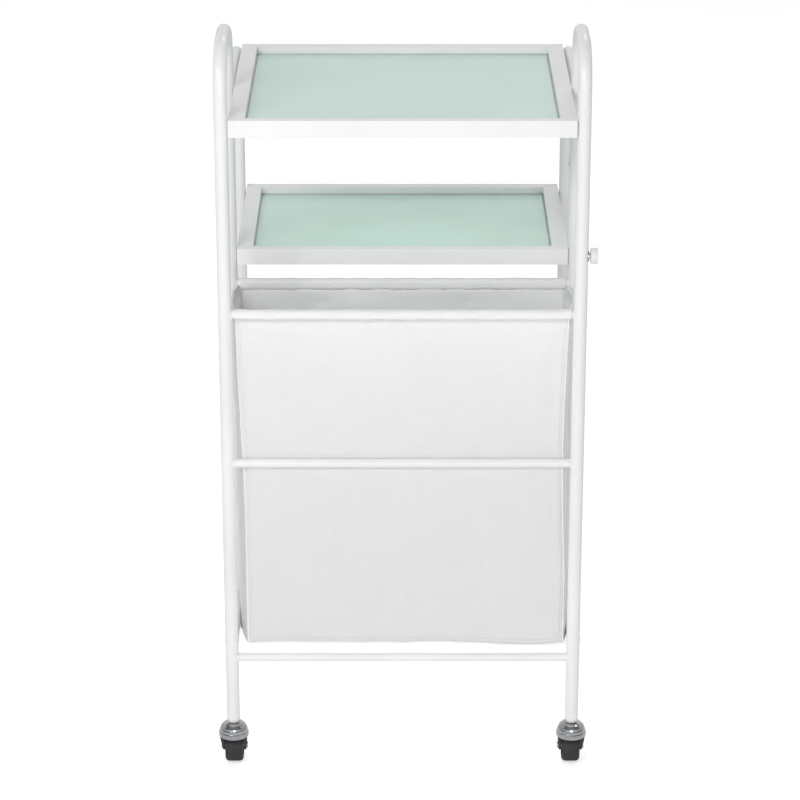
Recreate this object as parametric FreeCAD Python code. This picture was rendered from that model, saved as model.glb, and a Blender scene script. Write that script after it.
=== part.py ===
import FreeCAD, Part
import math
import os

# Rolling salon trolley. Millimetres, +X to the user's right, +Y to the back, +Z up, floor at Z = 0.
# The origin is on the floor, under the middle of the whole trolley.
Vector = FreeCAD.Vector
os.makedirs("parts", exist_ok=True)

# Side frames
leg_spacing = 416.0
leg_radius = 8.0
rear_leg_radius = 7.0
tube_wall = 1.5
leg_depth = 376.0
return_leg_offset = 138.0
arch_top = 915.0
arch_bend = 50.0
leg_bottom = 64.0
bar_height = 817.0
bar_bend = 36.0
rail_height = 168.0

# Cross rods
rod_radius = 5.0
front_rod_heights = (590.0, 402.0, 146.0)
bag_rod_height = 582.0

# Trays
tray_width = 400.0
tray_height = 20.0
tray_side_rim = 19.0
tray_front_rim = 12.0
tray_rear_rim = 15.0
sheet = 1.5
ledge_width = 8.0
glass_recess = 9.0
glass_thickness = 5.0
glass_gap = 1.0
pad_radius = 4.0
pad_thickness = 1.0
top_tray_top = 827.0
top_tray_depth = 352.0
lower_tray_top = 628.0
lower_tray_depth = 268.0

# Tray screws
screw_radius = 2.5
screw_head_radius = 4.5
screw_head_height = 3.0
screw_length = 11.0
spacer_radius = 6.0

# Accessory thumb screws
knob_height = 662.5
knob_radius = 9.5
knob_thickness = 8.4
knob_gap = 2.5
knob_shank_radius = 3.0
knob_shank_depth = 10.0
insert_radius = 5.0
insert_flange_radius = 6.5
insert_flange = 0.8
insert_depth = 8.0

# Casters
caster_trail = 12.0
wheel_radius = 20.0
wheel_width = 22.0
hub_radius = 14.0
axle_radius = 2.5
stem_radius = 4.0
bell_radius = 18.5
bell_top = 58.0
running_clearance = 0.05

# Bag
bag_half_width = 197.0
bag_foot_half_width = 189.0
bag_bottom = 162.0
bag_wall = 1.5
sleeve_radius = 7.3
rod_slack = 0.3

# Positions that follow from the sizes above
leg_x = leg_spacing / 2
front_y = -(leg_depth + caster_trail + wheel_radius - bell_radius) / 2
return_y = front_y + return_leg_offset
rear_y = front_y + leg_depth
top_tray_front = front_y - leg_radius
lower_tray_front = return_y - leg_radius


def save(name, shape):
    shape.exportStep("parts/" + name + ".step")


def box(x0, x1, y0, y1, z0, z1):
    return Part.makeBox(x1 - x0, y1 - y0, z1 - z0, Vector(x0, y0, z0))


def rod(radius, start, end):
    line = Vector(*end) - Vector(*start)
    return Part.makeCylinder(radius, line.Length, Vector(*start), line)


def joined(shapes):
    whole = shapes[0]
    for shape in shapes[1:]:
        whole = whole.fuse(shape)
    return whole.removeSplitter()


def ring_of(points):
    corners = [Vector(*point) for point in points]
    return Part.makePolygon(corners + [corners[0]])


def sweep(edges, start, direction, radius):
    circle = Part.Wire([Part.makeCircle(radius, start, direction)])
    return Part.Wire(edges).makePipeShell([circle], True, False)


def bent_tube(edges, start, direction, radius):
    return sweep(edges, start, direction, radius).cut(sweep(edges, start, direction, radius - tube_wall))


def corner_arc(x, y, z, radius, from_angle, to_angle):
    points = []
    for angle in (from_angle, (from_angle + to_angle) / 2, to_angle):
        turn = math.radians(angle)
        points.append(Vector(x, y + radius * math.cos(turn), z + radius * math.sin(turn)))
    return Part.Arc(*points).toShape()


def tray_screw_points(side):
    wall = side * tray_width / 2
    return [
        (wall, front_y, top_tray_top - tray_height / 2),
        (wall, return_y, top_tray_top - tray_height / 2),
        (wall, rear_y - 90, top_tray_top - tray_height / 2),
        (wall, return_y, lower_tray_top - tray_height / 2),
        (wall, rear_y, lower_tray_top - tray_height / 2),
    ]


def screw_shanks(side):
    shanks = []
    for x, y, z in tray_screw_points(side):
        shanks.append(rod(screw_radius, (x - side * sheet, y, z), (x + side * (screw_length - sheet), y, z)))
    return joined(shanks)


def bore(shape, tools):
    for tool in tools:
        shape = shape.cut(tool)
    return shape


# Side frames: each side has a hoop, a rear leg with a level bar at the top, and a bottom rail
knob_mounts = (("front", front_y, leg_radius), ("rear", rear_y, rear_leg_radius))
frame_solids = {}
for side_name, side in (("left", -1), ("right", 1)):
    x = side * leg_x
    crown = arch_top - leg_radius
    shoulder = crown - arch_bend
    hoop_edges = [
        Part.makeLine(Vector(x, front_y, leg_bottom), Vector(x, front_y, shoulder)),
        corner_arc(x, front_y + arch_bend, shoulder, arch_bend, 180, 90),
        Part.makeLine(Vector(x, front_y + arch_bend, crown), Vector(x, return_y - arch_bend, crown)),
        corner_arc(x, return_y - arch_bend, shoulder, arch_bend, 90, 0),
        Part.makeLine(Vector(x, return_y, shoulder), Vector(x, return_y, rail_height)),
    ]
    hoop = bent_tube(hoop_edges, Vector(x, front_y, leg_bottom), Vector(0, 0, 1), leg_radius)
    hoop = hoop.cut(rod(leg_radius, (x, return_y - 20, rail_height), (x, return_y + 20, rail_height)))

    rear_edges = [
        Part.makeLine(Vector(x, rear_y, leg_bottom), Vector(x, rear_y, bar_height - bar_bend)),
        corner_arc(x, rear_y - bar_bend, bar_height - bar_bend, bar_bend, 0, 90),
        Part.makeLine(Vector(x, rear_y - bar_bend, bar_height), Vector(x, return_y, bar_height)),
    ]
    rear_leg = bent_tube(rear_edges, Vector(x, rear_y, leg_bottom), Vector(0, 0, 1), rear_leg_radius)
    rear_leg = rear_leg.cut(rod(leg_radius, (x, return_y, bar_height - 20), (x, return_y, bar_height + 20)))

    rail = rod(leg_radius, (x, front_y, rail_height), (x, rear_y, rail_height))
    rail = rail.cut(rod(leg_radius - tube_wall, (x, front_y, rail_height), (x, rear_y, rail_height)))
    rail = rail.cut(rod(leg_radius, (x, front_y, rail_height - 20), (x, front_y, rail_height + 20)))
    rail = rail.cut(rod(rear_leg_radius, (x, rear_y, rail_height - 20), (x, rear_y, rail_height + 20)))

    hoop = hoop.cut(screw_shanks(side))
    rear_leg = rear_leg.cut(screw_shanks(side))
    if side_name == "right":
        front_hole = rod(insert_radius, (x, front_y, knob_height), (x + 20, front_y, knob_height))
        rear_hole = rod(insert_radius, (x, rear_y, knob_height), (x + 20, rear_y, knob_height))
        hoop = hoop.cut(front_hole)
        rear_leg = rear_leg.cut(rear_hole)
    save(side_name + "_front_hoop", hoop)
    save(side_name + "_rear_leg", rear_leg)
    save(side_name + "_bottom_rail", rail)


# Cross rods, each coped to the legs it is welded to
def cross_rod(y, z, leg):
    whole = rod(rod_radius, (-leg_x, y, z), (leg_x, y, z))
    for side in (-1, 1):
        whole = whole.cut(rod(leg, (side * leg_x, y, z - 20), (side * leg_x, y, z + 20)))
    return whole


rod_names = ("bag_front_rod", "middle_front_rod", "lower_front_rod")
for name, height in zip(rod_names, front_rod_heights):
    save(name, cross_rod(front_y, height, leg_radius))
save("bag_rear_rod", cross_rod(return_y, bag_rod_height, leg_radius))
lower_rear_rod = cross_rod(rear_y, rail_height, rear_leg_radius)
for x in (-leg_x, leg_x):
    lower_rear_rod = lower_rear_rod.cut(rod(leg_radius, (x, front_y, rail_height), (x, rear_y, rail_height)))
save("lower_rear_rod", lower_rear_rod)


# Trays: folded sheet channel all round, with a ledge under a loose pane of glass
def tray_frame(front, depth, top):
    half = tray_width / 2
    back = front + depth
    ledge = top - glass_recess - glass_thickness - pad_thickness
    body = box(-half, half, front, back, top - tray_height, top)
    inner_x = half - tray_side_rim
    inner_front = front + tray_front_rim
    inner_back = back - tray_rear_rim
    well = box(-inner_x, inner_x, inner_front, inner_back, ledge, top + 1)
    light = box(
        -inner_x + ledge_width, inner_x - ledge_width,
        inner_front + ledge_width, inner_back - ledge_width,
        top - tray_height - 1, top,
    )
    under = box(-half + sheet, half - sheet, front + sheet, back - sheet, top - tray_height - 1, top - sheet)
    wall = box(
        -inner_x - sheet, inner_x + sheet,
        inner_front - sheet, inner_back + sheet,
        ledge - sheet, top - sheet + 1,
    )
    frame = body.cut(well).cut(light).cut(under.cut(wall))
    upright = []
    for edge in frame.Edges:
        box_of = edge.BoundBox
        if box_of.ZLength > tray_height - 0.1 and abs(abs(box_of.Center.x) - half) < 0.1:
            upright.append(edge)
    return frame.makeFillet(1.2, upright)


def tray_glass(front, depth, top):
    inner_x = tray_width / 2 - tray_side_rim - glass_gap
    y0 = front + tray_front_rim + glass_gap
    y1 = front + depth - tray_rear_rim - glass_gap
    z1 = top - glass_recess
    pane = box(-inner_x, inner_x, y0, y1, z1 - glass_thickness, z1)
    return pane.makeChamfer(0.6, [edge for edge in pane.Edges if edge.BoundBox.Center.z > z1 - 0.1])


def tray_pads(front, depth, top):
    x = tray_width / 2 - tray_side_rim - ledge_width / 2 - 0.3
    y0 = front + tray_front_rim + 40
    y1 = front + depth - tray_rear_rim - 40
    z = top - glass_recess - glass_thickness
    pads = []
    for side in (-1, 1):
        for y in (y0, (y0 + y1) / 2, y1):
            pads.append(rod(pad_radius - 0.4, (side * x, y, z - pad_thickness), (side * x, y, z)))
    return Part.makeCompound(pads)


for name, front, depth, top in (
    ("top_tray", top_tray_front, top_tray_depth, top_tray_top),
    ("lower_tray", lower_tray_front, lower_tray_depth, lower_tray_top),
):
    holes = [screw_shanks(-1), screw_shanks(1)]
    save(name + "_frame", bore(tray_frame(front, depth, top), holes))
    save(name + "_glass", tray_glass(front, depth, top))
    save(name + "_pads", tray_pads(front, depth, top))

screws = []
spacers = []
for side in (-1, 1):
    for x, y, z in tray_screw_points(side):
        inner = x - side * sheet
        head = rod(screw_head_radius, (inner - side * screw_head_height, y, z), (inner, y, z))
        shank = rod(screw_radius, (inner, y, z), (inner + side * screw_length, y, z))
        socket = rod(1.5, (inner - side * screw_head_height, y, z), (inner - side * 1.2, y, z))
        screws.append(joined([head, shank]).cut(socket))
        if y > return_y + 1:
            washer = rod(spacer_radius, (x, y, z), (x + side * (leg_radius - rear_leg_radius), y, z))
            spacers.append(washer.cut(shank))
save("tray_screws", Part.makeCompound(screws))
save("tray_spacers", Part.makeCompound(spacers))


# Accessory thumb screws on the right side, each in a threaded insert
for name, y, tube in knob_mounts:
    skin = leg_x + tube
    insert = rod(insert_radius, (skin - insert_depth, y, knob_height), (skin, y, knob_height))
    flange = rod(insert_flange_radius, (skin, y, knob_height), (skin + insert_flange, y, knob_height))
    hole = rod(
        knob_shank_radius + running_clearance,
        (skin - insert_depth, y, knob_height), (skin + 2, y, knob_height),
    )
    save(name + "_knob_insert", joined([insert, flange]).cut(hole))
    face = skin + knob_gap
    head = rod(knob_radius, (face, y, knob_height), (face + knob_thickness, y, knob_height))
    head = head.makeFillet(1.0, head.Edges)
    shank = rod(knob_shank_radius, (skin - knob_shank_depth, y, knob_height), (face + 1, y, knob_height))
    slot = box(face + knob_thickness - 1.2, face + 20, y - 7, y + 7, knob_height - 0.8, knob_height + 0.8)
    save(name + "_thumb_screw", joined([head, shank]).cut(slot))


# Casters: plug and stem stay with the leg, bell and fork swivel, hub and tyre roll
def turned(profile):
    face = Part.Face(ring_of([(radius, 0, height) for radius, height in profile]))
    return face.revolve(Vector(0, 0, 0), Vector(0, 0, 1), 360)


def rolled(profile):
    face = Part.Face(ring_of([(across, radius, 0) for across, radius in profile]))
    return face.revolve(Vector(0, 0, 0), Vector(1, 0, 0), 360)


def leg_plug(tube):
    bore_radius = tube - tube_wall
    spigot = turned([
        (stem_radius, 58.5), (5.4, 58.5), (6.6, 59.4), (tube - 0.4, 61.4), (tube, 62.6), (tube, leg_bottom),
        (bore_radius, leg_bottom), (bore_radius, leg_bottom + 20),
        (bore_radius - 1, leg_bottom + 21), (stem_radius, leg_bottom + 21),
    ])
    return spigot


def caster_stem():
    return turned([
        (0, 42.2), (6.0, 42.2), (6.5, 42.7), (6.5, 43.6), (stem_radius, 43.6),
        (stem_radius, 82), (stem_radius - 1, 83), (0, 83),
    ])


def caster_bell():
    bell = turned([
        (4.8, bell_top), (8.0, bell_top), (12.4, 56.6), (15.4, 53.6), (16.2, 51.6), (15.7, 51.0),
        (16.9, 50.2), (17.4, 47.6), (16.9, 47.0), (18.1, 46.2), (bell_radius, 44.6), (bell_radius, 41.2),
        (17.5, 41.2), (17.0, 45.0), (15.9, 46.3), (15.9, 47.4), (15.2, 49.6), (14.7, 50.6),
        (14.3, 52.9), (11.8, 55.5), (7.8, 56.8), (4.8, 56.8),
    ])
    return bell


def caster_fork():
    crown = turned([
        (stem_radius + running_clearance, 44.0), (15.9, 44.0), (15.9, 47.4), (13.0, 49.4),
        (stem_radius + running_clearance, 49.4),
    ])
    cheeks = []
    for side in (-1, 1):
        front_view = ring_of([
            (side * 12.0, -40, 45.0), (side * 15.4, -40, 45.0), (side * 16.6, -40, 42.0),
            (side * 16.4, -40, 36.0), (side * 14.0, -40, 13.0), (side * 12.0, -40, 13.0),
        ])
        slab = Part.Face(front_view).extrude(Vector(0, 80, 0))
        side_view = ring_of([
            (-20, -9.0, 45.0), (-20, 10.0, 45.0), (-20, 14.5, 40.0), (-20, 18.2, 24.0), (-20, 18.2, 17.0),
            (-20, 15.6, 14.0), (-20, 9.6, 14.0), (-20, 6.4, 16.6), (-20, -6.5, 38.0), (-20, -9.0, 42.0),
        ])
        plate = Part.Face(side_view).extrude(Vector(40, 0, 0))
        cheeks.append(slab.common(plate))
    skirt_room = turned([(16.9, 40.9), (40.0, 40.9), (40.0, 50.0), (16.9, 50.0)])
    fork = joined([crown] + cheeks).cut(skirt_room)
    axle_hole = rod(axle_radius, (-30, caster_trail, wheel_radius), (30, caster_trail, wheel_radius))
    return fork.cut(axle_hole)


def caster_axle():
    y = caster_trail
    z = wheel_radius
    pin = rod(axle_radius, (-14.9, y, z), (14.9, y, z))
    heads = [rod(4.2, (side * 14.4, y, z), (side * 16.4, y, z)) for side in (-1, 1)]
    return joined([pin] + heads).cut(caster_fork())


def wheel_hub():
    half = wheel_width / 2
    profile = [
        (-half + 0.6, axle_radius + running_clearance), (-half + 0.6, 6.0), (-half + 4.0, 6.8),
        (-half + 4.0, 11.6), (-half + 1.4, 12.2), (-half + 1.4, hub_radius),
    ]
    mirrored = [(-across, radius) for across, radius in reversed(profile)]
    return rolled(profile + mirrored)


def wheel_tyre():
    half = wheel_width / 2
    profile = [
        (-half, hub_radius), (-half, 16.4), (-half + 0.8, 18.2), (-half + 2.4, 19.5), (-half + 4.6, wheel_radius),
    ]
    mirrored = [(-across, radius) for across, radius in reversed(profile)]
    return rolled(profile + mirrored)


caster_places = (
    ("front_left", -leg_x, front_y, leg_radius),
    ("front_right", leg_x, front_y, leg_radius),
    ("rear_left", -leg_x, rear_y, rear_leg_radius),
    ("rear_right", leg_x, rear_y, rear_leg_radius),
)
for name, x, y, tube in caster_places:
    shapes = {
        "leg_plug": leg_plug(tube),
        "stem": caster_stem(),
        "bell": caster_bell(),
        "fork": caster_fork(),
        "axle": caster_axle(),
        "wheel_hub": wheel_hub(),
        "wheel_tyre": wheel_tyre(),
    }
    for piece in ("wheel_hub", "wheel_tyre"):
        shapes[piece].translate(Vector(0, caster_trail, wheel_radius))
    for piece, shape in shapes.items():
        shape.translate(Vector(x, y, 0))
        save(name + "_" + piece, shape)


# Bag: an open fabric box that hangs from a sleeve on each of its two rods
def bag_block(inset, bottom):
    front = front_y + rod_radius + rod_slack + inset
    back = return_y - rod_radius - rod_slack - inset
    sections = []
    for z, half in ((bottom, bag_foot_half_width - inset), (front_rod_heights[0], bag_half_width - inset)):
        sections.append(ring_of([(-half, front, z), (half, front, z), (half, back, z), (-half, back, z)]))
    return Part.makeLoft(sections, True, True)


bag = bag_block(0, bag_bottom).cut(bag_block(bag_wall, bag_bottom + bag_wall))
slope = Part.Face(ring_of([
    (-220, front_y, front_rod_heights[0]), (-220, return_y, bag_rod_height),
    (-220, return_y, 700), (-220, front_y, 700),
])).extrude(Vector(440, 0, 0))
bag = bag.cut(slope)
for y, z in ((front_y, front_rod_heights[0]), (return_y, bag_rod_height)):
    sleeve = rod(sleeve_radius, (-bag_half_width, y, z), (bag_half_width, y, z))
    bag = bag.fuse(sleeve)
for y, z in ((front_y, front_rod_heights[0]), (return_y, bag_rod_height)):
    bag = bag.cut(rod(rod_radius + rod_slack, (-210, y, z), (210, y, z)))
save("fabric_bag", bag.removeSplitter())
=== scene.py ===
import math

import bpy
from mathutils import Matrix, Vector, noise


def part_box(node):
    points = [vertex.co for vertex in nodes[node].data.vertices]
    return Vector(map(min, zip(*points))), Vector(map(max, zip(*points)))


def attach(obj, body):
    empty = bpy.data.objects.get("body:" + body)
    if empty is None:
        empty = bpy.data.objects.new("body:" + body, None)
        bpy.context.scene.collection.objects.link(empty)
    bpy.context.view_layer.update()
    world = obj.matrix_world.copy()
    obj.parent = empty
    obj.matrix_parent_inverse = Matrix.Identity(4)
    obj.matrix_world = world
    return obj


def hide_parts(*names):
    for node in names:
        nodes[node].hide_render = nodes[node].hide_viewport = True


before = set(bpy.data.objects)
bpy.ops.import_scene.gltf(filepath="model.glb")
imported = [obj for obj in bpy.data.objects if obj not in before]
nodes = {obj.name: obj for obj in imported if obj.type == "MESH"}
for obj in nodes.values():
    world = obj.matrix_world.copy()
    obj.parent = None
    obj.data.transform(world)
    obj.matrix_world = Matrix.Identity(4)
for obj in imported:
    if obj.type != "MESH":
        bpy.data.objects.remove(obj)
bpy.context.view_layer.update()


# Side frames: two hoops, two rear legs and two bottom rails of bent steel tube, with welded cross rods.
# They are powder coated white after welding, so tube, bead and rod share one unbroken satin skin.
def linear(code):
    channels = [int(code[i:i + 2], 16) / 255 for i in (1, 3, 5)]
    return [c / 12.92 if c <= 0.04045 else ((c + 0.055) / 1.055) ** 2.4 for c in channels] + [1.0]


def add_node(tree, kind, settings=None, links=None, **sockets):
    node = tree.nodes.new(kind)
    for name, value in (settings or {}).items():
        setattr(node, name, value)
    for name, value in sockets.items():
        node.inputs[name.replace("_", " ")].default_value = value
    for name, source in (links or {}).items():
        tree.links.new(source, node.inputs[name])
    return node


def new_material(name, **sockets):
    material = bpy.data.materials.new(name)
    material.use_nodes = True
    tree = material.node_tree
    shader = tree.nodes["Principled BSDF"]
    for socket, value in sockets.items():
        shader.inputs[socket.replace("_", " ")].default_value = value
    where = add_node(tree, "ShaderNodeTexCoord").outputs["Object"]
    return material, tree, shader, where


def colour_ramp(tree, source, stops):
    ramp = add_node(tree, "ShaderNodeValToRGB", links={"Fac": source})
    elements = ramp.color_ramp.elements
    while len(elements) < len(stops):
        elements.new(0.5)
    for element, (place, code) in zip(elements, stops):
        element.position = place
        element.color = linear(code)
    return ramp.outputs["Color"]


def finish_node(name, material):
    node = nodes[name]
    node.data.materials.clear()
    node.data.materials.append(material)


# Polyester powder coat: satin, with a faint orange peel about 1.5 mm across that softens highlights.
def powder_coat():
    material, tree, shader, where = new_material(
        "satin_white_powder_coat", IOR=1.5, Coat_Weight=0.25, Coat_Roughness=0.12)
    peel = add_node(tree, "ShaderNodeTexNoise", links={"Vector": where}, Scale=650.0, Detail=2.0)
    cloud = add_node(tree, "ShaderNodeTexNoise", links={"Vector": where}, Scale=9.0, Detail=3.0)
    tint = colour_ramp(tree, cloud.outputs["Fac"], ((0.35, "#ececec"), (0.65, "#f1f1f1")))
    gloss = add_node(
        tree, "ShaderNodeMapRange", links={"Value": cloud.outputs["Fac"]}, To_Min=0.28, To_Max=0.38)
    bump = add_node(
        tree, "ShaderNodeBump", links={"Height": peel.outputs["Fac"]}, Strength=0.06, Distance=0.0002)
    tree.links.new(tint, shader.inputs["Base Color"])
    tree.links.new(gloss.outputs["Result"], shader.inputs["Roughness"])
    tree.links.new(bump.outputs["Normal"], shader.inputs["Normal"])
    return material


white_coat = powder_coat()
frame_nodes = [
    side + part for side in ("left_", "right_") for part in ("front_hoop", "rear_leg", "bottom_rail")]
rod_nodes = ["bag_front_rod", "middle_front_rod", "lower_front_rod", "bag_rear_rod", "lower_rear_rod"]
for name in frame_nodes + rod_nodes:
    finish_node(name, white_coat)


def middle(name):
    low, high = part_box(name)
    return (Vector(low) + Vector(high)) / 2


def size(name):
    low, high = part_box(name)
    return Vector(high) - Vector(low)


rail_middle = middle("right_bottom_rail")
leg_x = rail_middle.x
leg_radius = size("right_bottom_rail").x / 2
rear_leg_radius = size("right_rear_leg").x / 2
rod_radius = size("lower_front_rod").z / 2
front_y = middle("lower_front_rod").y
return_y = middle("bag_rear_rod").y
rear_y = middle("lower_rear_rod").y


# Weld beads: where one tube is coped onto another, a small fillet of weld runs round the joint.
# It is ground lightly and coated over, so it reads as a soft ring with a slightly uneven edge.
def mesh_piece(name, vertices, faces, material, body="frame", smooth=True):
    mesh = bpy.data.meshes.new(name)
    mesh.from_pydata([tuple(v) for v in vertices], [], faces)
    mesh.update()
    if smooth:
        mesh.polygons.foreach_set("use_smooth", [True] * len(mesh.polygons))
    piece = bpy.data.objects.new(name, mesh)
    bpy.context.scene.collection.objects.link(piece)
    mesh.materials.append(material)
    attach(piece, body)
    return piece


def tube_round(path, radius_at, sides=8, closed=True):
    vertices = []
    faces = []
    count = len(path)
    for i, point in enumerate(path):
        ahead = path[(i + 1) % count] if closed or i < count - 1 else point
        behind = path[i - 1] if closed or i > 0 else point
        along = (ahead - behind).normalized()
        across = along.cross(Vector((0.31, 0.22, 0.93))).normalized()
        up = along.cross(across)
        for k in range(sides):
            turn = 2 * math.pi * k / sides
            vertices.append(point + (across * math.cos(turn) + up * math.sin(turn)) * radius_at(i))
    for i in range(count if closed else count - 1):
        for k in range(sides):
            here = i * sides + k
            beside = i * sides + (k + 1) % sides
            after = ((i + 1) % count) * sides
            faces.append((here, beside, after + (k + 1) % sides, after + k))
    return vertices, faces


bead_steps = 40


def cope_bead(joint, from_axis, host_axis, joined_radius, host_radius):
    side_axis = from_axis.cross(host_axis)
    path = []
    for i in range(bead_steps):
        turn = 2 * math.pi * i / bead_steps
        aside = joined_radius * math.cos(turn)
        level = joined_radius * math.sin(turn)
        reach = math.sqrt(max(host_radius ** 2 - aside ** 2, 0))
        path.append(joint + from_axis * reach + side_axis * aside + host_axis * level)
    return tube_round(path, lambda i: 0.0011 + 0.0002 * noise.noise(path[i] * 400))


bead_vertices = []
bead_faces = []


def lay_bead(*cope):
    vertices, faces = cope_bead(*cope)
    start = len(bead_vertices)
    bead_vertices.extend(vertices)
    bead_faces.extend([tuple(start + k for k in face) for face in faces])


along_y = Vector((0, 1, 0))
along_z = Vector((0, 0, 1))
tube_on_tube = 0.985
for side in (-1, 1):
    inward = Vector((-side, 0, 0))
    for name, y, host in (
        ("bag_front_rod", front_y, leg_radius), ("middle_front_rod", front_y, leg_radius),
        ("lower_front_rod", front_y, leg_radius), ("bag_rear_rod", return_y, leg_radius),
        ("lower_rear_rod", rear_y, rear_leg_radius),
    ):
        lay_bead(Vector((side * leg_x, y, middle(name).z)), inward, along_z, rod_radius, host)
    rail_z = rail_middle.z
    lay_bead(Vector((side * leg_x, front_y, rail_z)), along_y, along_z, leg_radius * tube_on_tube, leg_radius)
    lay_bead(
        Vector((side * leg_x, rear_y, rail_z)), -along_y, along_z,
        rear_leg_radius * tube_on_tube, rear_leg_radius)
    lay_bead(Vector((side * leg_x, return_y, rail_z)), along_z, along_y, leg_radius * tube_on_tube, leg_radius)
    bar_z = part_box("right_rear_leg")[1][2] - rear_leg_radius
    lay_bead(Vector((side * leg_x, return_y, bar_z)), along_y, along_z, rear_leg_radius, leg_radius)
mesh_piece("weld_beads", bead_vertices, bead_faces, white_coat)


# Trays: each rim is folded sheet steel with mitred, welded corners, coated with the tubes. A pane of float
# glass, frosted from below in mint green, lies on silicone pads in it and is sealed round its edge.
for name in ("top_tray_frame", "lower_tray_frame"):
    finish_node(name, white_coat)


# Back-frosted float glass: a clear glossy face over a pale mint satin layer, with darker green cut edges.
def frosted_glass():
    material, tree, shader, where = new_material(
        "back_frosted_float_glass", IOR=1.52, Roughness=0.5, Coat_Weight=0.55, Coat_Roughness=0.03,
        Subsurface_Weight=1.0, Subsurface_Radius=(1.0, 1.0, 1.0), Subsurface_Scale=0.004)
    cloud = add_node(tree, "ShaderNodeTexNoise", links={"Vector": where}, Scale=5.0, Detail=2.0)
    face = colour_ramp(tree, cloud.outputs["Fac"], ((0.3, "#cbe6dc"), (0.7, "#d3ece3")))
    normal = add_node(tree, "ShaderNodeNewGeometry").outputs["Normal"]
    parts = add_node(tree, "ShaderNodeSeparateXYZ", links={"Vector": normal})
    level = add_node(tree, "ShaderNodeMath", {"operation": "ABSOLUTE"}, {0: parts.outputs["Z"]})
    mix = add_node(tree, "ShaderNodeMix", {"data_type": "RGBA"}, {"Factor": level.outputs["Value"]})
    mix.inputs["A"].default_value = linear("#93bfb0")
    tree.links.new(face, mix.inputs["B"])
    grain = add_node(tree, "ShaderNodeTexNoise", links={"Vector": where}, Scale=900.0, Detail=1.0)
    bump = add_node(
        tree, "ShaderNodeBump", links={"Height": grain.outputs["Fac"]}, Strength=0.05, Distance=0.0001)
    tree.links.new(mix.outputs["Result"], shader.inputs["Base Color"])
    tree.links.new(bump.outputs["Normal"], shader.inputs["Normal"])
    return material


mint_glass = frosted_glass()
for name in ("top_tray_glass", "lower_tray_glass"):
    finish_node(name, mint_glass)


# Mitre welds: each tray corner is welded on the diagonal and down its outer edge, then linished flat. Only the
# line on the diagonal across the top is drawn, standing just proud under the coat.
def weld_line(points, radius):
    vertices, faces = tube_round(
        points, lambda i: radius * (1 + 0.3 * noise.noise(points[i] * 500)), 6, False)
    start = len(mitre_vertices)
    mitre_vertices.extend(vertices)
    mitre_faces.extend([tuple(start + k for k in face) for face in faces])


mitre_vertices = []
mitre_faces = []
for tray in ("top_tray", "lower_tray"):
    low, high = (Vector(corner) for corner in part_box(tray + "_frame"))
    pane_low, pane_high = (Vector(corner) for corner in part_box(tray + "_glass"))
    for side in (-1, 1):
        for y, pane_y in ((low.y, pane_low.y), (high.y, pane_high.y)):
            outer = Vector((side * high.x, y, high.z))
            inner = Vector((side * pane_high.x, pane_y, high.z))
            inset = (inner - outer).normalized() * 0.0008
            across = [(outer + inset).lerp(inner, i / 24) for i in range(25)]
            weld_line(across, 0.0004)
mesh_piece("tray_mitre_welds", mitre_vertices, mitre_faces, white_coat)


# Silicone pads: small clear discs that keep the pane off the steel ledge.
def clear_silicone():
    material, tree, shader, where = new_material(
        "clear_silicone", IOR=1.41, Transmission_Weight=0.6, Roughness=0.35)
    cloud = add_node(tree, "ShaderNodeTexNoise", links={"Vector": where}, Scale=300.0)
    tint = colour_ramp(tree, cloud.outputs["Fac"], ((0.3, "#dde3e1"), (0.7, "#e9eeec")))
    tree.links.new(tint, shader.inputs["Base Color"])
    return material


silicone = clear_silicone()
for name in ("top_tray_pads", "lower_tray_pads"):
    finish_node(name, silicone)


# Pane seal: a thin smoothed bead of the same silicone fills the gap between pane and rim all the way round.
def pane_seal(tray):
    low, high = (Vector(corner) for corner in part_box(tray + "_glass"))
    reach = 0.0004
    corners = ((low.x - reach, low.y - reach), (high.x + reach, low.y - reach),
               (high.x + reach, high.y + reach), (low.x - reach, high.y + reach))
    path = []
    for i, (x, y) in enumerate(corners):
        ahead_x, ahead_y = corners[(i + 1) % 4]
        for step in range(30):
            part = step / 30
            path.append(Vector((x + (ahead_x - x) * part, y + (ahead_y - y) * part, high.z - 0.0004)))
    vertices, faces = tube_round(path, lambda i: 0.00085 + 0.00008 * noise.noise(path[i] * 200), 8)
    return mesh_piece(tray + "_seal", vertices, faces, silicone)


for tray in ("top_tray", "lower_tray"):
    pane_seal(tray)


# Plain fixings: pan-head screws and threaded inserts in bright zinc, spacers and plugs in white nylon.
def zinc_plate():
    material, tree, shader, where = new_material("bright_zinc_plate", Metallic=1.0)
    cloud = add_node(tree, "ShaderNodeTexNoise", links={"Vector": where}, Scale=220.0, Detail=4.0)
    tint = colour_ramp(tree, cloud.outputs["Fac"], ((0.3, "#b4b8be"), (0.7, "#c9ccd0")))
    gloss = add_node(
        tree, "ShaderNodeMapRange", links={"Value": cloud.outputs["Fac"]}, To_Min=0.22, To_Max=0.4)
    tree.links.new(tint, shader.inputs["Base Color"])
    tree.links.new(gloss.outputs["Result"], shader.inputs["Roughness"])
    return material


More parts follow.
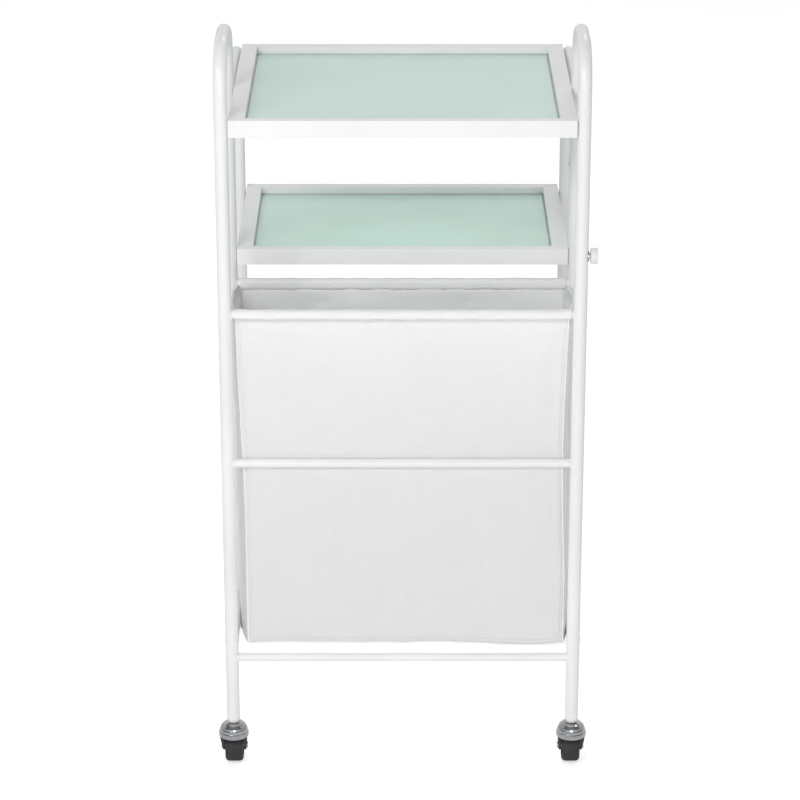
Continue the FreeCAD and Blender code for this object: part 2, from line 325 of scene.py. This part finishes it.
def moulded_plastic(name, dark, light, low_gloss, high_gloss):
    material, tree, shader, where = new_material(name, IOR=1.53)
    cloud = add_node(tree, "ShaderNodeTexNoise", links={"Vector": where}, Scale=120.0, Detail=3.0)
    tint = colour_ramp(tree, cloud.outputs["Fac"], ((0.3, dark), (0.7, light)))
    gloss = add_node(
        tree, "ShaderNodeMapRange", links={"Value": cloud.outputs["Fac"]},
        To_Min=low_gloss, To_Max=high_gloss)
    grain = add_node(tree, "ShaderNodeTexNoise", links={"Vector": where}, Scale=1800.0)
    bump = add_node(
        tree, "ShaderNodeBump", links={"Height": grain.outputs["Fac"]}, Strength=0.1, Distance=0.0001)
    tree.links.new(tint, shader.inputs["Base Color"])
    tree.links.new(gloss.outputs["Result"], shader.inputs["Roughness"])
    tree.links.new(bump.outputs["Normal"], shader.inputs["Normal"])
    return material


zinc = zinc_plate()
white_nylon = moulded_plastic("moulded_white_nylon", "#e2e2e0", "#eaeae8", 0.38, 0.5)
finish_node("tray_screws", zinc)
finish_node("tray_spacers", white_nylon)
for place in ("front", "rear"):
    finish_node(place + "_knob_insert", zinc)
    finish_node(place + "_thumb_screw", white_nylon)


# Casters: a chromed pressed bell and a fork swivel under a nylon leg plug. The fork is drawn near black as
# painted shade, standing for the shadow and dark reflections inside its legs.
# The wheel is black polypropylene with a thermoplastic rubber tyre moulded round it.
def chrome_plate():
    material, tree, shader, where = new_material("polished_chrome_plate", Metallic=1.0)
    cloud = add_node(tree, "ShaderNodeTexNoise", links={"Vector": where}, Scale=90.0, Detail=3.0)
    tint = colour_ramp(tree, cloud.outputs["Fac"], ((0.3, "#a4a6a9"), (0.7, "#b6b8bb")))
    gloss = add_node(
        tree, "ShaderNodeMapRange", links={"Value": cloud.outputs["Fac"]}, To_Min=0.05, To_Max=0.12)
    tree.links.new(tint, shader.inputs["Base Color"])
    tree.links.new(gloss.outputs["Result"], shader.inputs["Roughness"])
    return material


chrome = chrome_plate()
# The fork's near-black colour is painted shade for the shadow and dark reflections inside its legs.
fork_shade_black = moulded_plastic("fork_painted_shade_black", "#141416", "#1d1d20", 0.28, 0.4)
black_plastic = moulded_plastic("moulded_black_polypropylene", "#1c1c1d", "#262627", 0.4, 0.55)
black_rubber = moulded_plastic("black_thermoplastic_rubber", "#222223", "#303031", 0.55, 0.75)
corners = [end + side for end in ("front_", "rear_") for side in ("left", "right")]
for corner in corners:
    finish_node(corner + "_leg_plug", white_nylon)
    finish_node(corner + "_stem", zinc)
    finish_node(corner + "_bell", chrome)
    finish_node(corner + "_fork", fork_shade_black)
    finish_node(corner + "_axle", zinc)
    finish_node(corner + "_wheel_hub", black_plastic)
    finish_node(corner + "_wheel_tyre", black_rubber)


# Bag: one woven polyester box, open at the top, whose front and back walls hang from sleeves on two rods.
# The cloth is slack, so it dents softly and bellies out below the middle rod. The shape comes from formulas.
bag_low, bag_high = (Vector(corner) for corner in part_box("fabric_bag"))
front_rod_z = middle("bag_front_rod").z
rear_rod_z = middle("bag_rear_rod").z
press_z = middle("middle_front_rod").z
cloth_gap = 0.0007
wall_front = front_y + rod_radius + cloth_gap
wall_back = return_y - rod_radius - cloth_gap
bag_half = bag_high.x - 0.001
front_top = front_rod_z - rod_radius - 0.0012
back_top = rear_rod_z - rod_radius - 0.0012
bag_floor = bag_low.z + 0.001
columns_wide = 96
columns_deep = 32
rows = 108


def smooth(value):
    value = min(max(value, 0.0), 1.0)
    return value * value * (3 - 2 * value)


def soft_dents(along, height, seed):
    """How far slack cloth stands out of flat, in metres: broad dents, smaller folds and sharp creases."""
    broad = noise.noise(Vector((along * 6.5, height * 3.2, seed)))
    folds = noise.noise(Vector((along * 19 + height * 7, height * 8, seed + 3)))
    creases = 1 - abs(noise.noise(Vector((along * 12 - height * 9, height * 5, seed + 7)))) * 6
    return 0.0062 * broad + 0.0022 * folds + 0.0012 * max(creases, 0)


def bag_wall(turn, fall):
    """A point of the bag: turn runs 0 to 4 round front, right, back and left walls, fall 0 to 1 down them."""
    face = int(turn) % 4
    part = turn - int(turn)
    left_front = -bag_half + 0.0005 + 0.0075 * smooth(fall * 1.6)
    right_front = bag_half - 0.0005 - 0.0045 * math.sin(math.pi * min(fall * 1.3, 1))
    left_back = -bag_half - 0.004 * fall
    right_back = bag_half + 0.004 * fall
    flat = math.sin(math.pi * part) ** 0.45
    held = smooth(fall / 0.05)
    if face == 0:
        x = left_front + (right_front - left_front) * part
        top, y, outward = front_top, wall_front, Vector((0, -1, 0))
    elif face == 1:
        x = right_front + (right_back - right_front) * part
        top, y, outward = front_top + (back_top - front_top) * part, wall_front, Vector((1, 0, 0))
        y += (wall_back - wall_front) * part
    elif face == 2:
        x = right_back + (left_back - right_back) * part
        top, y, outward = back_top, wall_back, Vector((0, 1, 0))
    else:
        x = left_back + (left_front - left_back) * part
        top, y, outward = back_top + (front_top - back_top) * part, wall_back, Vector((-1, 0, 0))
        y += (wall_front - wall_back) * part
    if face in (1, 3):
        top += 0.0075 * smooth(min(part, 1 - part) / 0.1)
    z = top + (bag_floor - top) * fall
    along = x if face in (0, 2) else y
    swell = soft_dents(along, z, 11.0 * face + 2.0)
    if face == 0:
        upper = (front_top - z) / (front_top - press_z)
        lower = (press_z - z) / (press_z - bag_floor)
        if upper < 1:
            swell += 0.0030 * math.sin(math.pi * max(upper, 0))
        else:
            lobes = 1 + 0.55 * noise.noise(Vector((x * 9, 0.0, 8.4)))
            swell += 0.008 * lobes * math.sin(math.pi * lower ** 0.55)
        swell += 0.0016 * math.exp(-abs(x) / 0.007)
        fold_x = 0.176 + 0.019 * ((z - 0.482) / 0.1) ** 2
        fold_length = smooth((z - 0.455) / 0.03) * smooth((0.585 - z) / 0.03)
        swell -= 0.0035 * fold_length * math.exp(-((x - fold_x) / 0.006) ** 2)
        swell += 0.0025 * fold_length * math.exp(-((x - fold_x + 0.016) / 0.009) ** 2)
    if face == 2:
        swell += 0.004 * math.sin(math.pi * fall)
    if face == 1:
        held, flat = 1.0, math.sin(math.pi * part)
        swell += 0.006
    if face == 3:
        held, flat = 1.0, math.sin(math.pi * part)
        swell += 0.0075
    pucker = 0.0005 * noise.noise(Vector((along * 95, z * 8, face))) * math.exp(-fall * 22)
    point = Vector((x, y, z)) + outward * (swell * flat * held + pucker)
    if face == 0:
        under = point.z - press_z
        clear = rod_radius + cloth_gap
        reach = clear * math.exp(-(under / (clear * 2.6)) ** 2)
        point.y = max(point.y, front_y + reach)
    foot = smooth((fall - 0.93) / 0.07)
    point.z -= 0.003 * foot * noise.noise(Vector((along * 10, 3.0 * face, 4.2)))
    return point


def bag_floor_point(across, deep, ring_point):
    sag = math.sin(math.pi * across) * math.sin(math.pi * deep)
    low = 0.009 * sag + 0.002 * noise.noise(ring_point * 18)
    return ring_point - Vector((0, 0, low * smooth(min(across, 1 - across, deep, 1 - deep) * 9)))


turns = [i / columns_wide for i in range(columns_wide)]
turns += [1 + i / columns_deep for i in range(columns_deep)]
turns += [2 + i / columns_wide for i in range(columns_wide)]
turns += [3 + i / columns_deep for i in range(columns_deep)]
round_bag = len(turns)
vertices = [bag_wall(turn, row / rows) for row in range(rows + 1) for turn in turns]
faces = []
for row in range(rows):
    for i in range(round_bag):
        here = row * round_bag + i
        beside = row * round_bag + (i + 1) % round_bag
        faces.append((here, here + round_bag, beside + round_bag, beside))
foot_ring = rows * round_bag
floor_index = {}
for i in range(columns_wide + 1):
    floor_index[(i, 0)] = foot_ring + i
    floor_index[(i, columns_deep)] = foot_ring + 2 * columns_wide + columns_deep - i
for j in range(1, columns_deep):
    floor_index[(columns_wide, j)] = foot_ring + columns_wide + j
    floor_index[(0, j)] = foot_ring + (2 * columns_wide + 2 * columns_deep - j)
for i in range(1, columns_wide):
    for j in range(1, columns_deep):
        far = vertices[floor_index[(i, columns_deep)]]
        near = vertices[floor_index[(i, 0)]].lerp(far, j / columns_deep)
        left = vertices[floor_index[(0, j)]]
        right = vertices[floor_index[(columns_wide, j)]]
        level = left.z + (right.z - left.z) * i / columns_wide
        flat_point = Vector((near.x, near.y, (near.z + level) / 2))
        floor_index[(i, j)] = len(vertices)
        vertices.append(bag_floor_point(i / columns_wide, j / columns_deep, flat_point))
for i in range(columns_wide):
    for j in range(columns_deep):
        faces.append((floor_index[(i, j)], floor_index[(i, j + 1)],
                      floor_index[(i + 1, j + 1)], floor_index[(i + 1, j)]))


# Plain-woven polyester: matt, with a soft bloom at grazing angles. Its threads are about 0.6 mm apart,
# drawn at 1.4 mm so that the cross-hatch can be seen, over a faint cloudiness from handling.
def woven_polyester(name, dark, light, let_through):
    material, tree, shader, where = new_material(
        name, IOR=1.5, Roughness=0.92, Sheen_Weight=0.15, Sheen_Roughness=0.5, Specular_IOR_Level=0.25,
        Subsurface_Weight=1.0, Subsurface_Radius=(1.0, 1.0, 1.0), Subsurface_Scale=let_through)
    cloud = add_node(tree, "ShaderNodeTexNoise", links={"Vector": where}, Scale=16.0, Detail=5.0)
    slubs = []
    for stretch in ((45.0, 45.0, 900.0), (900.0, 900.0, 45.0)):
        drawn_out = add_node(tree, "ShaderNodeMapping", links={"Vector": where}, Scale=stretch)
        slubs.append(add_node(
            tree, "ShaderNodeTexNoise", links={"Vector": drawn_out.outputs["Vector"]}, Scale=1.0))
    slub = add_node(tree, "ShaderNodeMath", links={0: slubs[0].outputs["Fac"], 1: slubs[1].outputs["Fac"]})
    weave = None
    for axis in "XYZ":
        thread = add_node(
            tree, "ShaderNodeTexWave", {"bands_direction": axis}, {"Vector": where},
            Scale=0.314 / 0.0014, Distortion=0.6)
        if weave is None:
            weave = thread.outputs["Fac"]
        else:
            weave = add_node(
                tree, "ShaderNodeMath", links={0: weave, 1: thread.outputs["Fac"]}).outputs["Value"]
    blend = add_node(
        tree, "ShaderNodeMath", {"operation": "MULTIPLY_ADD"},
        {0: slub.outputs["Value"], 2: cloud.outputs["Fac"]})
    blend.inputs[1].default_value = 0.4
    tint = colour_ramp(tree, blend.outputs["Value"], ((0.65, dark), (1.0, light)))
    bump = add_node(tree, "ShaderNodeBump", links={"Height": weave}, Strength=0.35, Distance=0.0003)
    tree.links.new(tint, shader.inputs["Base Color"])
    tree.links.new(bump.outputs["Normal"], shader.inputs["Normal"])
    return material


bag_cloth = woven_polyester("plain_woven_polyester", "#f5f5f5", "#fcfcfc", 0.0018)
doubled_cloth = woven_polyester("doubled_woven_polyester", "#f1f1f1", "#f8f8f8", 0.0004)
bag = mesh_piece("bag_cloth", vertices, faces, bag_cloth)
shell = bag.modifiers.new("cloth_thickness", "SOLIDIFY")
shell.thickness = 0.0007
shell.offset = 0.0
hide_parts("fabric_bag")


# Sleeves: the same cloth folded over each rod and stitched back to the wall. The front one grips its rod
# closely; the rear one is deeper, so its hem line shows below the rod.
def sleeve(name, rod_y, rod_z, wall_side, depth, seed):
    """A band of cloth from the wall, over the rod and back. wall_side is +1 where the wall is behind."""
    around = rod_radius + cloth_gap
    half_length = bag_half + 0.0024
    section = [(wall_side * around, -depth), (wall_side * around, -depth * 0.5)]
    for step in range(19):
        turn = math.radians(step * 12.5)
        section.append((wall_side * around * math.cos(turn), around * math.sin(turn)))
    section.append((wall_side * (around - 0.0018), -depth * 0.85))
    section.append((wall_side * (around - 0.0010), -depth))
    columns = 130
    vertices = []
    faces = []
    for i in range(columns + 1):
        x = -half_length + 2 * half_length * i / columns
        for k, (across, rise) in enumerate(section):
            slack = 0.0006 * noise.noise(Vector((x * 55, k * 0.35, seed)))
            scale = 1 + slack / around
            vertices.append(Vector((x, rod_y + across * scale, rod_z + rise * scale)))
    wide = len(section)
    for i in range(columns):
        for k in range(wide - 1):
            here = i * wide + k
            faces.append((here, here + 1, here + wide + 1, here + wide))
    piece = mesh_piece(name, vertices, faces, doubled_cloth)
    thickness = piece.modifiers.new("cloth_thickness", "SOLIDIFY")
    thickness.thickness = 0.0006
    thickness.offset = 0.0
    return piece


front_sleeve_depth = front_rod_z - front_top + 0.0005
rear_sleeve_depth = rear_rod_z - back_top + 0.0005
front_sleeve = sleeve("bag_front_sleeve", front_y, front_rod_z, 1, front_sleeve_depth, 1.0)
rear_sleeve = sleeve("bag_rear_sleeve", return_y, rear_rod_z, -1, rear_sleeve_depth, 5.0)


# Sewing: each upright corner and the foot of the bag has an overlocked seam that stands out as a cord-like
# ridge, the side walls end in a turned hem, and rows of stitches run along sleeves, hems and seams.
def on_bag(turn, fall, lift):
    """A point lifted off the outside of the bag wall."""
    here = bag_wall(turn, fall)
    beside = bag_wall(turn + 0.004, fall) - here
    below = bag_wall(turn, min(fall + 0.004, 1.0)) - bag_wall(turn, min(fall + 0.004, 1.0) - 0.004)
    return here + beside.cross(below).normalized() * -lift


def seam_cord(paths, radius, name):
    vertices = []
    faces = []
    for path, closed in paths:
        ring, sides = tube_round(
            path, lambda i: radius * (1 + 0.25 * noise.noise(path[i] * 300)), 8, closed)
        start = len(vertices)
        vertices.extend(ring)
        faces.extend([tuple(start + k for k in face) for face in sides])
    return mesh_piece(name, vertices, faces, doubled_cloth)


seam_steps = 150
seam_radius = 0.0011
seam_paths = [
    ([bag_wall(corner, step / seam_steps) for step in range(seam_steps + 1)], False) for corner in range(4)]
seam_paths.append(([bag_wall(turn, 1.0) for turn in turns], True))
corner_seams = seam_cord(seam_paths, seam_radius, "bag_corner_seams")


def side_hem(name, face):
    """The turned top edge of a side wall: a second layer outside the first, with a rounded edge."""
    columns = 40
    drops = [0.0, 0.006, 0.012, 0.018, 0.024, 0.03]
    vertices = []
    faces = []
    for i in range(columns + 1):
        turn = face + 0.02 + 0.96 * i / columns
        vertices.append(on_bag(turn, 0.0, -0.0009) + Vector((0, 0, 0.0006)))
        vertices.append(on_bag(turn, 0.0, 0.0005) + Vector((0, 0, 0.0013)))
        vertices.extend(on_bag(turn, drop, 0.0013) for drop in drops)
    wide = len(drops) + 2
    for i in range(columns):
        for k in range(wide - 1):
            here = i * wide + k
            faces.append((here, here + wide, here + wide + 1, here + 1))
    piece = mesh_piece(name, vertices, faces, doubled_cloth)
    thickness = piece.modifiers.new("cloth_thickness", "SOLIDIFY")
    thickness.thickness = 0.0007
    thickness.offset = 0.0
    return piece


right_hem = side_hem("bag_right_hem", 1)
left_hem = side_hem("bag_left_hem", 3)


# Stitches: white polyester thread in 3 mm lock stitches, each dipping into the cloth at both ends.
def thread_material():
    material, tree, shader, where = new_material(
        "white_sewing_thread", IOR=1.5, Roughness=0.55, Sheen_Weight=0.3)
    twist = add_node(
        tree, "ShaderNodeTexWave", {"bands_direction": "DIAGONAL"}, {"Vector": where},
        Scale=520.0, Distortion=1.0)
    # The tint follows the twist bump, darker where it sinks: painted shade in the twist grooves of thread that
    # is white all over.
    tint = colour_ramp(tree, twist.outputs["Fac"], ((0.2, "#dcdcda"), (0.8, "#f2f2f0")))
    bump = add_node(
        tree, "ShaderNodeBump", links={"Height": twist.outputs["Fac"]}, Strength=0.4, Distance=0.0002)
    tree.links.new(tint, shader.inputs["Base Color"])
    tree.links.new(bump.outputs["Normal"], shader.inputs["Normal"])
    return material


stitch_length = 0.003
stitch_pitch = 0.0042
thread_radius = 0.00032
stitch_vertices = []
stitch_faces = []


def stitch_row(line, into):
    """Lay stitches along a line of points spaced evenly; into is the way the thread dips."""
    travelled = 0.0
    for start, end in zip(line, line[1:]):
        span = (end - start).length
        while travelled < span:
            first = start.lerp(end, travelled / span)
            along = (end - start).normalized()
            steps = [first + along * (stitch_length * t) + into * (0.0006 * (2 * t - 1) ** 2 - 0.0002)
                     for t in (0.0, 0.2, 0.5, 0.8, 1.0)]
            ring, sides = tube_round(steps, lambda i: thread_radius, 6, False)
            base = len(stitch_vertices)
            stitch_vertices.extend(ring)
            stitch_faces.extend([tuple(base + k for k in face) for face in sides])
            travelled += stitch_pitch
        travelled -= span


def wall_row(face, fall, first, last, lift, outward):
    points = [on_bag(face + first + (last - first) * i / 60, fall, lift) for i in range(61)]
    stitch_row(points, -outward)


outward_of = (Vector((0, -1, 0)), Vector((1, 0, 0)), Vector((0, 1, 0)), Vector((-1, 0, 0)))
for face in (0, 2):
    wall_row(face, 0.011, 0.01, 0.99, 0.0009, outward_of[face])
    wall_row(face, 0.985, 0.02, 0.98, 0.0006, outward_of[face])
for face in (1, 3):
    wall_row(face, 0.026, 0.03, 0.97, 0.0018, outward_of[face])
for face in range(4):
    for beside_seam in (0.012, 0.988) if face in (0, 2) else (0.04, 0.96):
        down = [
            on_bag(face + beside_seam, 0.03 + 0.94 * i / seam_steps, 0.0006) for i in range(seam_steps + 1)]
        stitch_row(down, -outward_of[face])
stitches = mesh_piece("bag_stitches", stitch_vertices, stitch_faces, thread_material())


# Floor: a plain pale sheet that sweeps off in every direction. It looks brighter than it shines on the
# trolley, and it can be seen through from below.
def pale_floor():
    material, tree, shader, where = new_material("pale_matt_floor", Roughness=0.9, Specular_IOR_Level=0.1)
    shader.inputs["Emission Color"].default_value = linear("#ffffff")
    seen = add_node(tree, "ShaderNodeLightPath").outputs["Is Camera Ray"]
    lit = add_node(tree, "ShaderNodeMapRange", links={"Value": seen}, To_Min=0.08, To_Max=0.5)
    tree.links.new(lit.outputs["Result"], shader.inputs["Emission Strength"])
    cloud = add_node(tree, "ShaderNodeTexNoise", links={"Vector": where}, Scale=2.0)
    tint = colour_ramp(tree, cloud.outputs["Fac"], ((0.3, "#f6f6f6"), (0.7, "#f9f9f9")))
    tree.links.new(tint, shader.inputs["Base Color"])
    from_below = add_node(tree, "ShaderNodeNewGeometry").outputs["Backfacing"]
    either = add_node(tree, "ShaderNodeMixShader", links={0: from_below, 1: shader.outputs["BSDF"]})
    tree.links.new(add_node(tree, "ShaderNodeBsdfTransparent").outputs["BSDF"], either.inputs[2])
    tree.links.new(either.outputs["Shader"], tree.nodes["Material Output"].inputs["Surface"])
    return material


floor_half = 30.0
floor_mesh = bpy.data.meshes.new("floor")
floor_mesh.from_pydata(
    [(-floor_half, -floor_half, 0), (floor_half, -floor_half, 0),
     (floor_half, floor_half, 0), (-floor_half, floor_half, 0)], [], [(0, 1, 2, 3)])
floor_mesh.materials.append(pale_floor())
floor = bpy.data.objects.new("floor", floor_mesh)
floor.location.z = -0.0002
bpy.context.scene.collection.objects.link(floor)


# Light: a white room, dimmer high up and at the sides, with a soft key lamp high on the left, a low fill in
# front and a fill behind. The dimmer band high up gives polished metal something to mirror. The room is plain
# white where it is looked at directly.
world = bpy.data.worlds.new("white_room")
bpy.context.scene.world = world
world.use_nodes = True
room = world.node_tree
toward = add_node(room, "ShaderNodeSeparateXYZ", links={
    "Vector": add_node(room, "ShaderNodeTexCoord").outputs["Generated"]})
upward = colour_ramp(room, toward.outputs["Z"], (
    (0.0, "#ffffff"), (0.6, "#ffffff"), (0.66, "#959595"), (0.86, "#959595"),
    (0.92, "#bcbcbc"), (1.0, "#bcbcbc")))
sideways = add_node(room, "ShaderNodeMath", {"operation": "ABSOLUTE"}, {0: toward.outputs["X"]})
beside = colour_ramp(room, sideways.outputs["Value"], ((0.45, "#ffffff"), (0.95, "#d0d0d0")))
shade = add_node(room, "ShaderNodeMix", {"data_type": "RGBA", "blend_type": "MULTIPLY"})
shade.inputs["Factor"].default_value = 1.0
room.links.new(upward, shade.inputs["A"])
room.links.new(beside, shade.inputs["B"])
seen = add_node(room, "ShaderNodeLightPath").outputs["Is Camera Ray"]
plain = add_node(room, "ShaderNodeMix", {"data_type": "RGBA"}, {"Factor": seen})
room.links.new(shade.outputs["Result"], plain.inputs["A"])
plain.inputs["B"].default_value = linear("#ffffff")
lit = add_node(room, "ShaderNodeMapRange", links={"Value": seen}, To_Min=0.9, To_Max=1.0)
room.links.new(plain.outputs["Result"], room.nodes["Background"].inputs["Color"])
room.links.new(lit.outputs["Result"], room.nodes["Background"].inputs["Strength"])


def soft_light(name, place, aim_height, side_length, power):
    lamp = bpy.data.lights.new(name, "AREA")
    lamp.size = side_length
    lamp.energy = power
    light = bpy.data.objects.new(name, lamp)
    light.location = place
    aim = Vector((0, 0, aim_height)) - light.location
    light.rotation_euler = aim.to_track_quat("-Z", "Y").to_euler()
    bpy.context.scene.collection.objects.link(light)


soft_light("high_left_lamp", (-0.9, -1.9, 1.9), 0.8, 0.8, 17)
soft_light("low_front_fill", (0.2, -3.2, 0.85), 0.5, 1.2, 11)
soft_light("rear_fill", (0.7, 1.9, 2.5), 0.5, 1.0, 9)

bpy.context.scene.view_settings.view_transform = "Standard"
camera_data = bpy.data.cameras.new("camera")
camera = bpy.data.objects.new("camera", camera_data)
bpy.context.scene.collection.objects.link(camera)
camera.location = (-0.003, -3.5, 1.761)
camera.rotation_euler = (math.radians(90 - 20.53), 0, 0)
camera_data.sensor_width = 36.0
camera_data.lens = 134.8
camera_data.shift_x = 0.0
camera_data.shift_y = -0.04
bpy.context.scene.camera = camera
